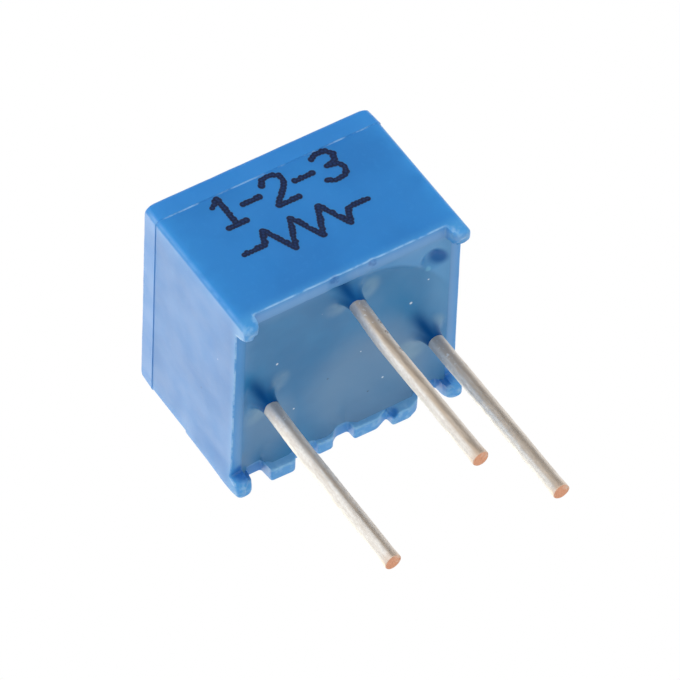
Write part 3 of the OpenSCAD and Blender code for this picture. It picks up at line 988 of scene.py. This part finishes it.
# Rows of the marking: left end, base height, height of a digit, then the step or the right end
NUMBER_ROW = (-2.02, 3.22, 1.02, 0.79)
SYMBOL_ROW = (-2.05, 1.78, 1.02, 1.68)
SYMBOL_LEADS = (0.62, 0.6)
SYMBOL_TURNS = 6


def number_lines():
    left, base, tall, step = NUMBER_ROW
    lines = []
    for place, mark in enumerate("1-2-3"):
        for line in DIGITS[mark]:
            lines.append([(left + place * step + x * tall, MARK_Y, base + y * tall) for x, y in line])
    return lines


def symbol_lines():
    """The plain sign for a resistor: a zigzag between two leads."""
    left, base, tall, right = SYMBOL_ROW
    high, middle = base + 0.95 * tall, base + 0.475 * tall
    start, end = left + SYMBOL_LEADS[0], right - SYMBOL_LEADS[1]
    zigzag = [(left, middle), (start, middle)]
    for i in range(SYMBOL_TURNS):
        zigzag.append((start + (end - start) * (i + 0.5) / SYMBOL_TURNS, base if i % 2 else high))
    zigzag += [(end, middle), (right, middle)]
    return [[(x, MARK_Y, z) for x, z in zigzag]]


def dot_nodes(material):
    """Lines become rows of low dots of ink, a little uneven in size and place."""
    build, given, end = geometry_tree("ink_dots", {
        "Spacing": 0.1 * MM, "Radius": 0.094 * MM, "Rise": DOT_RISE * MM, "Jitter": 0.012 * MM, "Seed": 5})
    path = build.geo("MeshToCurve", Mesh=given["Geometry"])
    spaced = build.geo("ResampleCurve", {"mode": "LENGTH"}, Curve=path, Length=given["Spacing"])
    points = build.geo("CurveToPoints", {"mode": "EVALUATED"}, Curve=spaced)
    low, high = (build.vector("SCALE", i0=(side, 0.0, side), Scale=given["Jitter"]) for side in (-1.0, 1.0))
    moved = build.geo("SetPosition", Geometry=points, Offset=build.chance(low, high, given["Seed"]))
    dome = build.geo("MeshUVSphere", Segments=20, Rings=8, Radius=1.0)
    flat = build.add("ShaderNodeCombineXYZ", X=given["Radius"], Y=given["Rise"], Z=given["Radius"])
    placed = build.geo("InstanceOnPoints", Points=moved,
                       Instance=build.geo("Transform", Geometry=dome, Scale=flat),
                       Scale=build.chance((0.82, 1.0, 0.82), (1.16, 1.0, 1.16), given["Seed"]))
    return build.close(placed, end, material, smooth_faces=True)


def marking_piece(material):
    lines = number_lines() + symbol_lines()
    return through_nodes(wire("marking", lines), dot_nodes(material), "marking", material)


# --- materials ---


class Paint(Tree):
    """A material built up in coats over a base colour. Its sizes are millimetres on the piece."""

    def __init__(self, name, base, **values):
        self.material = bpy.data.materials.new(name)
        self.material.use_nodes = True
        super().__init__(self.material.node_tree)
        self.tree.nodes.clear()
        self.shader = self.add("ShaderNodeBsdfPrincipled", **values)
        self.add("ShaderNodeOutputMaterial", Surface=self.shader)
        place = self.add("ShaderNodeTexCoord").outputs["Object"]
        self.place = self.vector("SCALE", i0=place, Scale=1 / MM).outputs[0]
        self.axes = self.add("ShaderNodeSeparateXYZ", Vector=self.place).outputs
        self.colour = (*base, 1)

    def noise(self, size, detail=3.0, stretch=(1, 1, 1), shift=0.0):
        """Noise from about 0.3 to 0.7 with features of a size in millimetres."""
        vector = self.place
        if stretch != (1, 1, 1) or shift:
            vector = self.add("ShaderNodeMapping", Vector=vector, Scale=stretch, Location=(shift,) * 3)
        return self.add("ShaderNodeTexNoise", Vector=vector, Scale=1 / size, Detail=detail).outputs[0]

    def fit(self, value, low, high, to_low=0.0, to_high=1.0):
        return self.add("ShaderNodeMapRange", {"interpolation_type": "SMOOTHSTEP"}, Value=value,
                        From_Min=low, From_Max=high, To_Min=to_low, To_Max=to_high).outputs[0]

    def patches(self, size, low=0.35, high=0.65, to_low=0.0, to_high=1.0, **look):
        """Soft patches: noise between two of its levels, spread over the range asked for."""
        return self.fit(self.noise(size, **look), low, high, to_low, to_high)

    def rough(self, size, low, high, **look):
        """Roughness that varies over the whole of a noise's range."""
        return self.patches(size, 0.3, 0.7, low, high, **look)

    def attribute(self, name):
        """A number that the piece's points carry."""
        return self.add("ShaderNodeAttribute", {"attribute_name": name}).outputs["Fac"]

    def times(self, first, *others):
        for other in others:
            first = self.math("MULTIPLY", first, other)
        return first

    def mix(self, share, a, b):
        return self.add("ShaderNodeMix", {"data_type": "RGBA"}, i0=share, i6=a, i7=b).outputs[2]

    def coat(self, colour, *shares):
        """Covers what is there with a colour, where the product of the shares is high."""
        self.colour = self.mix(self.times(*shares), self.colour, (*colour, 1))

    def spots(self, places, soft=0.4):
        """1 within any of some balls and 0 outside them, with a soft edge."""
        total = None
        for centre, radius in places:
            away = self.vector("DISTANCE", i0=self.place, i1=centre).outputs["Value"]
            one = self.fit(away, radius * (1 + soft), radius * (1 - soft))
            total = one if total is None else self.math("MAXIMUM", total, one)
        return total

    def bump(self, height, depth, **below):
        """Unevenness, with a depth in millimetres for a height from 0 to 1."""
        inputs = {"Height": height, "Strength": 1.0, "Distance": depth * MM, **below}
        return self.add("ShaderNodeBump", **inputs).outputs[0]

    def use(self, **inputs):
        """Joins the coats and other sockets to the shader."""
        for name, socket in {"Base_Color": self.colour, **inputs}.items():
            self.tree.links.new(socket, self.shader.inputs[name.replace("_", " ")])
        return self.material


def blue_moulding():
    """Satin blue moulding with soft scuffs; painted light makes it paler on its edges, its drafted strip, its
    thin rims and their undersides, with painted highlights along its edges, and painted shade darkens its
    inner corners, recess, chipped rim and inner rim edges.
    """
    paint = Paint("blue_moulding", (0.024, 0.195, 0.54), IOR=1.5, Subsurface_Weight=0.15,
                  Subsurface_Radius=(0.3, 0.6, 1.0), Subsurface_Scale=0.3 * MM)
    _, depth, height = paint.axes
    paint.coat((0.028, 0.22, 0.59), paint.patches(2.2))
    paint.coat((0.05, 0.31, 0.7), paint.patches(0.14, 0.55, 0.75, 0, 0.12, detail=2, shift=3.0))
    # Painted light: paler near the upright corners.
    paint.coat((0.05, 0.33, 0.78), paint.attribute("painted_edge_light"), paint.patches(0.6, 0.1, 0.6))
    # Painted light: the drafted strip above the parting line is made paler.
    paint.coat((0.035, 0.27, 0.72), paint.fit(height, PARTING - 0.02, PARTING + 0.05, 0, 0.4))
    # Painted highlight on the moulding flash along the parting line of the marked face.
    flash = paint.times(paint.fit(depth, FRONT + 0.12, FRONT + 0.08),
                        paint.patches(0.5, 0.4, 0.6, detail=4, shift=1.0),
                        paint.fit(height, PARTING - 0.03, PARTING - 0.018),
                        paint.fit(height, PARTING + 0.018, PARTING + 0.006))
    paint.coat((0.3, 0.55, 0.85), flash, 0.7)
    # Painted light: the walls are made paler towards their thin rims.
    paint.coat((0.07, 0.33, 0.7), paint.fit(height, 0.75, 0.3), 0.75)
    # Painted highlights along the rims' and upright edges.
    paint.coat((0.42, 0.66, 0.9), paint.attribute("painted_edge_highlight"), paint.patches(0.3, 0.32, 0.62, detail=4), 0.6)
    # Painted light on the rims' undersides.
    paint.coat((0.17, 0.36, 0.66), paint.attribute("underside"), 0.65)
    # Painted shade where the rims meet the cavity.
    paint.coat((0.02, 0.18, 0.42), paint.attribute("inner_edge_shade"), paint.fit(height, 0.3, 0.44, 0, 0.9))
    # Painted light: the rear tabs' inner faces paler towards their ends.
    paint.coat((0.16, 0.4, 0.68), paint.attribute("tab_face"), paint.fit(height, 0.55, 0.25, 0.5, 0.85))
    # Painted light: the rims paler still at their lowest, in patches.
    paint.coat((0.3, 0.55, 0.8), paint.fit(height, 0.5, 0.0), paint.patches(0.2, 0.45, 0.7, detail=4), 0.55)
    # Painted shade in the cavity's rear corners and in the recess.
    corner_y = REAR - END_WALL - 0.1
    pocket_shade = paint.spots([((LEFT + SIDE_WALL, corner_y, 0.4), 0.28),
                           ((RIGHT - SIDE_WALL, corner_y, 0.4), 0.3), (tuple(RECESS), RECESS_R * 1.2)])
    paint.coat((0.006, 0.12, 0.46), pocket_shade, 0.75)
    # Painted shade in the hollows of the two larger chipped places in the marked rim.
    chip_shade = paint.spots([((place + 0.05 * i, FRONT + 0.16 + 0.08 * i, RIM), half * (1 - 0.3 * i))
                         for place, half, _ in RIM_CHIPS[:2] for i in (0, 1)])
    paint.coat((0.01, 0.12, 0.42), chip_shade, paint.patches(0.15, 0.3, 0.6, 0.1, 0.6, shift=6.0))
    nicks = paint.spots([((LEFT, -1.09, 1.26), 0.03), ((LEFT, 0.2, 2.15), 0.022),
                         ((LEFT, 0.26, 2.27), 0.018)])
    paint.coat((0.6, 0.72, 0.85), nicks, 0.6)
    paint.coat((0.01, 0.06, 0.2), paint.spots([((LEFT, 0.79, 1.99), 0.03)]))
    grain = paint.bump(paint.noise(0.03, 2), 0.0008)
    return paint.use(Roughness=paint.rough(0.9, 0.36, 0.44, shift=7.0),
                     Normal=paint.bump(paint.noise(1.6, 1, shift=5.0), 0.001, Normal=grain))


def marking_ink():
    """Navy ink, browner and thinner towards the edge of each dot."""
    paint = Paint("marking_ink", (0.002, 0.008, 0.04), Roughness=0.55, Specular_IOR_Level=0.3)
    depth = paint.axes[1]
    paint.coat((0.008, 0.02, 0.065), paint.patches(0.05, detail=2))
    paint.coat((0.03, 0.04, 0.09), paint.fit(depth, MARK_Y - 0.0065, MARK_Y - 0.0015))
    paint.coat((0.012, 0.035, 0.12), paint.fit(depth, MARK_Y - 0.0068, MARK_Y - DOT_RISE))
    return paint.use(Normal=paint.bump(paint.noise(0.04, 2), 0.002))


def potting_epoxy():
    """Clear-looking blue epoxy, cloudy where it is thin, with painted shade and dark reflection at the pins'
    fillets and in its hollow, and painted sheen across its surface.
    """
    paint = Paint("potting_epoxy", (0.01, 0.155, 0.37), IOR=1.5)

    def at(*places):
        """1 around places on the surface, given as (x, y, radius)."""
        return paint.spots([((x, y, EPOXY_LEVEL), radius) for x, y, radius in places])

    def by_pin(number, x, y, radius):
        return PINS[number][0] + x, PINS[number][1] + y, radius

    side, depth, _ = paint.axes
    hollow_x, hollow_y = HOLLOW[0]
    thin = (0.05, 0.26, 0.56)
    paint.coat((0.014, 0.18, 0.41), paint.patches(1.3))
    # Painted sheen: broad paler greyish patches standing in for the surface's reflection.
    paint.coat((0.13, 0.25, 0.41), at((1.0, 1.7, 2.0), (-2.5, 1.7, 1.1)), 0.6)
    paint.coat(thin, paint.attribute("platform"))
    paint.coat(thin, paint.attribute("shore"), 0.75)
    paint.coat((0.11, 0.32, 0.58), paint.fit(side, 2.3, 3.1), paint.fit(depth, 1.2, -0.6), 0.6)
    # Painted shade in one side of the hollow.
    hollow_shade = paint.times(at((hollow_x + 0.18, hollow_y + 0.04, 0.25)), 0.8)
    paint.coat((0.006, 0.09, 0.33), hollow_shade)
    # Painted highlight on the hollow's rim.
    paint.coat((0.2, 0.55, 0.75), at((hollow_x - 0.12, hollow_y + 0.38, 0.08)), 0.35)
    # Painted shade at the pins' fillets, with tails of painted dark reflection.
    pin_shade = paint.attribute("pin_shade")
    paint.coat((0.001, 0.06, 0.22), pin_shade)
    # Painted sheen: pale spots beside the pins standing in for reflection.
    painted_sheen = at(by_pin(2, 0.62, 0.3, 0.4), by_pin(2, -0.27, 0.5, 0.34), by_pin(1, 0.58, -0.12, 0.32),
              by_pin(1, -0.1, 0.7, 0.4), by_pin(3, -0.35, 0.7, 0.45), by_pin(3, 0.3, -0.1, 0.3))
    paint.coat((0.26, 0.42, 0.52), painted_sheen, paint.patches(0.8, 0.2, 0.6, shift=2.0), 0.37)
    specks = at((-2.02, -0.7, 0.036), (-1.43, 1.47, 0.026), (2.1, -0.64, 0.04), (1.35, 1.9, 0.03),
                (-0.7, -1.9, 0.022), (0.6, 0.4, 0.02), (2.6, -1.3, 0.028))
    paint.coat((0.68, 0.76, 0.84), specks, 0.85)
    grit = at((-0.4, 0.9, 0.03), (1.1, 0.35, 0.03), (-1.7, 2.1, 0.03), (0.9, 2.2, 0.03))
    paint.coat((0.02, 0.05, 0.1), grit, 0.6)
    ripple = paint.bump(paint.noise(1.2, 2, shift=4.0), 0.008)
    # Where shade is painted, the reflection's colour is taken down too, so the painted shade stays dark.
    shaded_spots = paint.math("MAXIMUM", pin_shade, hollow_shade)
    return paint.use(Roughness=paint.rough(1.0, 0.34, 0.44, shift=9.0),
                     Normal=paint.bump(paint.noise(0.08), 0.0006, Normal=ripple),
                     Specular_Tint=paint.mix(shaded_spots, (1, 1, 1, 1), (0.1, 0.25, 0.4, 1)))


def tinned_copper():
    """Dull tin over copper wire: drawn streaks, dark blotches, and bare copper where it is sheared, with
    painted shade down one side and along the other edge, and painted glints.
    """
    paint = Paint("tinned_copper", (0.88, 0.83, 0.77), Metallic=0.76)
    height = paint.axes[2]
    streaks = paint.noise(0.08, stretch=(1, 1, 0.08))
    paint.coat((0.98, 0.96, 0.92), paint.fit(streaks, 0.35, 0.65))
    paint.coat((0.5, 0.42, 0.34),
               paint.patches(0.3, 0.6, 0.78, 0, 0.6, detail=4, stretch=(1, 1, 0.55), shift=3.0))
    # Painted shade down one side of the wires.
    paint.coat((0.64, 0.53, 0.42), paint.attribute("side_shade"), paint.fit(streaks, 0.25, 0.6, 0.6, 1.0))
    # Painted shade along the other edge.
    paint.coat((0.72, 0.71, 0.7), paint.attribute("far_side_shade"), 0.85)
    x, y = PINS[2]
    burns = paint.spots([((x + 0.13, y - 0.19, -0.85), 0.09), ((x + 0.12, y - 0.2, -1.9), 0.11),
                         ((x + 0.05, y - 0.22, -1.25), 0.06)])
    paint.coat((0.15, 0.09, 0.06), burns, paint.patches(0.06, 0.3, 0.55, shift=4.0), 0.8)
    # Painted glints, standing in for tiny tin beads, on the wires nearer the body.
    paint.coat((0.97, 0.97, 0.98), paint.patches(0.07, 0.61, 0.67, detail=2, shift=8.0),
               paint.fit(height, -1.5, -0.5, 0, 0.9))
    paint.coat((0.55, 0.48, 0.42), paint.patches(0.06, 0.35, 0.7, 0, 0.28, stretch=(1, 1, 0.5), shift=11.0))
    paint.coat((0.36, 0.37, 0.4), paint.fit(height, -1.1, 0.0, 0, 0.55))
    paint.coat((0.78, 0.58, 0.44), paint.attribute("tip"), 0.5)
    paint.coat((0.72, 0.36, 0.22), paint.attribute("cut_end"))
    pressed = (1, 1, 0.4)
    return paint.use(Roughness=paint.rough(0.14, 0.44, 0.58, detail=4, stretch=pressed, shift=6.0),
                     Normal=paint.bump(paint.noise(0.12, stretch=pressed), 0.004))


def rotor_moulding():
    """Ivory satin moulding with faint flow marks, darker in patches deeper down the slot."""
    paint = Paint("rotor_moulding", (0.68, 0.65, 0.55), Specular_IOR_Level=0.45)
    paint.coat((0.8, 0.78, 0.7), paint.patches(1.2, detail=4))
    # Darker in patches the deeper down the slot.
    paint.coat((0.4, 0.37, 0.31), paint.fit(paint.axes[2], ROTOR_HIGH[2], ROTOR_HIGH[2] - SLOT_DEPTH),
               paint.patches(0.3, 0.5, 0.75, 0, 0.35, detail=4, stretch=(1, 0.2, 1)))
    return paint.use(Roughness=paint.rough(0.2, 0.34, 0.52, shift=2.0),
                     Normal=paint.bump(paint.noise(0.06), 0.003))


def seal_rubber():
    """Orange-red silicone rubber with a dusty bloom."""
    paint = Paint("seal_rubber", (0.5, 0.1, 0.035), Specular_IOR_Level=0.4)
    paint.coat((0.62, 0.3, 0.2), paint.patches(0.25, 0.4, 0.75, 0, 0.35, detail=4))
    return paint.use(Roughness=paint.rough(0.1, 0.5, 0.7, shift=3.0),
                     Normal=paint.bump(paint.noise(0.05), 0.003))


def rolled_metal(name, dark, light, rough, stretch=(1, 1, 1)):
    """Metal with fine lines from rolling and slight stains."""
    paint = Paint(name, dark, Metallic=1.0)
    lines = paint.noise(0.03, stretch=stretch)
    paint.coat(light, paint.fit(lines, 0.35, 0.65))
    paint.coat([0.45 * part for part in dark], paint.patches(0.35, 0.58, 0.78, 0, 0.35, detail=4, shift=4.0))
    return paint.use(Roughness=paint.rough(0.12, *rough, shift=2.0),
                     Normal=paint.bump(lines, 0.0015))


def contact_spring():
    return rolled_metal("contact_spring", (0.68, 0.52, 0.24), (0.82, 0.68, 0.38), (0.2, 0.34), (1, 0.05, 1))


def solder():
    return rolled_metal("solder", (0.42, 0.42, 0.44), (0.64, 0.64, 0.65), (0.14, 0.3))


def contact_film():
    return rolled_metal("contact_film", (0.5, 0.5, 0.49), (0.68, 0.67, 0.64), (0.4, 0.6))


def ceramic():
    """Fired alumina: white, faintly mottled, with a fine grain."""
    paint = Paint("ceramic", (0.8, 0.78, 0.72))
    paint.coat((0.88, 0.87, 0.84), paint.patches(0.6, detail=5))
    paint.coat((0.45, 0.42, 0.38), paint.patches(0.05, 0.7, 0.8, 0, 0.4, detail=2, shift=5.0))
    return paint.use(Roughness=paint.rough(0.15, 0.5, 0.68, shift=3.0),
                     Normal=paint.bump(paint.noise(0.03), 0.002))


def resistive_film():
    """Glassy dark thick film with a screen's faint weave."""
    paint = Paint("resistive_film", (0.012, 0.012, 0.014), Specular_IOR_Level=0.6)
    paint.coat((0.04, 0.038, 0.036), paint.patches(0.2, 0.35, 0.7, detail=4))
    return paint.use(Roughness=paint.rough(0.1, 0.16, 0.34, shift=2.0),
                     Normal=paint.bump(paint.noise(0.05, 1), 0.002))


# --- studio and camera ---

FLAG_CLEAR = 0.12           # how much of the light the flag lets through in its middle
FLOOR_REACH, FLOOR_LOW = 3.0, -0.25
# Place and directions of the camera, in millimetres
EYE = (-58.821, -120.76, -82.571)
FORWARD = (0.3727, 0.7632, 0.52785)
UP = (0.39167, -0.64506, 0.65612)
LENS = 322.77


def face_object(name, corners, material):
    """An object of a single face."""
    mesh = bpy.data.meshes.new(name)
    mesh.from_pydata(corners, [], [tuple(range(len(corners)))])
    mesh.materials.append(material)
    return add_object(name, mesh)


def aim(thing, direction, distance):
    """Puts a light or a flag some way off in a direction, facing the part."""
    thing.location = Vector(direction).normalized() * distance
    thing.rotation_mode = "QUATERNION"
    thing.rotation_quaternion = (-thing.location).to_track_quat("-Z", "Y")
    thing.visible_camera = False


def softbox(name, direction, distance, size, radiance, colour=(1, 1, 1), seen=True):
    """A round area light. Its power follows from the brightness seen in reflections."""
    light = bpy.data.lights.new(name, "AREA")
    light.shape = "DISK"
    light.size = size
    light.energy = radiance * math.pi * math.pi * size * size / 4
    light.color = colour
    thing = add_object(name, light)
    aim(thing, direction, distance)
    thing.visible_glossy = seen


def flag_material():
    """Black in the middle and clear at the rim, so that its reflection has no edge."""
    material = bpy.data.materials.new("flag_cloth")
    material.use_nodes = True
    build = Tree(material.node_tree)
    build.tree.nodes.clear()
    away = build.vector("LENGTH", i0=build.add("ShaderNodeTexCoord").outputs["Object"])
    clear = build.add("ShaderNodeMapRange", {"interpolation_type": "SMOOTHSTEP"},
                      Value=away.outputs["Value"], From_Min=0.45, From_Max=1.0, To_Min=FLAG_CLEAR)
    dark = build.add("ShaderNodeBsdfDiffuse", Color=(0.01, 0.01, 0.012, 1))
    both = build.add("ShaderNodeMixShader", i0=clear, i1=dark, i2=build.add("ShaderNodeBsdfTransparent"))
    build.add("ShaderNodeOutputMaterial", Surface=both)
    return material


def flag(name, direction, distance, radius):
    """A round dark cloth that the camera doesn't see."""
    rim = [(math.cos(a), math.sin(a), 0) for a in np.arange(48) * 2 * math.pi / 48]
    thing = face_object(name, rim, flag_material())
    thing.scale = (radius, radius, radius)
    aim(thing, direction, distance)
    return thing


def floor_piece():
    """A pale floor far under the part, whose pins would otherwise stand in it."""
    material = bpy.data.materials.new("floor_paper")
    material.use_nodes = True
    shader = material.node_tree.nodes["Principled BSDF"]
    shader.inputs["Base Color"].default_value = (0.86, 0.86, 0.86, 1)
    shader.inputs["Roughness"].default_value = 0.9
    sides = ((-1, -1), (1, -1), (1, 1), (-1, 1))
    return face_object("floor", [(x * FLOOR_REACH, y * FLOOR_REACH, FLOOR_LOW) for x, y in sides], material)


def studio():
    scene = bpy.context.scene
    scene.view_settings.view_transform = "Standard"
    world = bpy.data.worlds.new("white_room")
    world.use_nodes = True
    world.node_tree.nodes["Background"].inputs["Color"].default_value = (1, 1, 1, 1)
    world.node_tree.nodes["Background"].inputs["Strength"].default_value = 1.0
    scene.world = world
    softbox("back_softbox", (-0.42, 0.74, 0.52), distance=0.5, size=0.42, radiance=1.38,
            colour=(1, 0.93, 0.72))
    softbox("front_fill", (0.1, -0.9, 0.2), distance=0.3, size=0.25, radiance=1.9, seen=False)
    floor_piece()
    flag("front_flag", (0.42, -0.76, 0.45), distance=0.36, radius=0.34)


def camera():
    data = bpy.data.cameras.new("camera")
    data.sensor_width = 36
    data.lens = LENS
    data.clip_start, data.clip_end = 0.01, 10
    thing = add_object("camera", data)
    forward = Vector(FORWARD).normalized()
    right = forward.cross(Vector(UP)).normalized()
    turn = Matrix((right, right.cross(forward), -forward)).transposed().to_4x4()
    thing.matrix_world = Matrix.Translation(Vector(EYE) * MM) @ turn
    bpy.context.scene.camera = thing


# --- the whole part ---


def build():
    tin, joint, film = tinned_copper(), solder(), contact_film()
    seat(housing_piece(blue_moulding()), "case", "blue_moulding", "housing")
    seat(epoxy_piece(potting_epoxy()), "case", "potting_epoxy", "epoxy_seal")
    seat(substrate_piece(ceramic()), "case", "ceramic", "substrate")
    seat(resistive_track_piece(resistive_film()), "case", "resistive_film", "resistive_track")
    for number in PINS:
        seat(pin_piece(number, tin), "case", "tinned_copper", f"pin_{number}")
        seat(solder_piece(number, joint), "case", "solder", f"solder_{number}")
    seat(rotor_piece(rotor_moulding()), "adjuster", "rotor_moulding", "rotor")
    seat(o_ring_piece(seal_rubber()), "case", "seal_rubber", "o_ring")
    seat(wiper_piece(contact_spring()), "adjuster", "contact_spring", "wiper")
    marking = marking_piece(marking_ink())
    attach(marking, "case")
    # The contact films keep their solid shape and get their finish too
    for node in ("collector_pad", "end_pad_1", "end_pad_3"):
        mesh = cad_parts[node].data
        mesh.materials.clear()
        mesh.materials.append(film)


camera()
studio()
build()
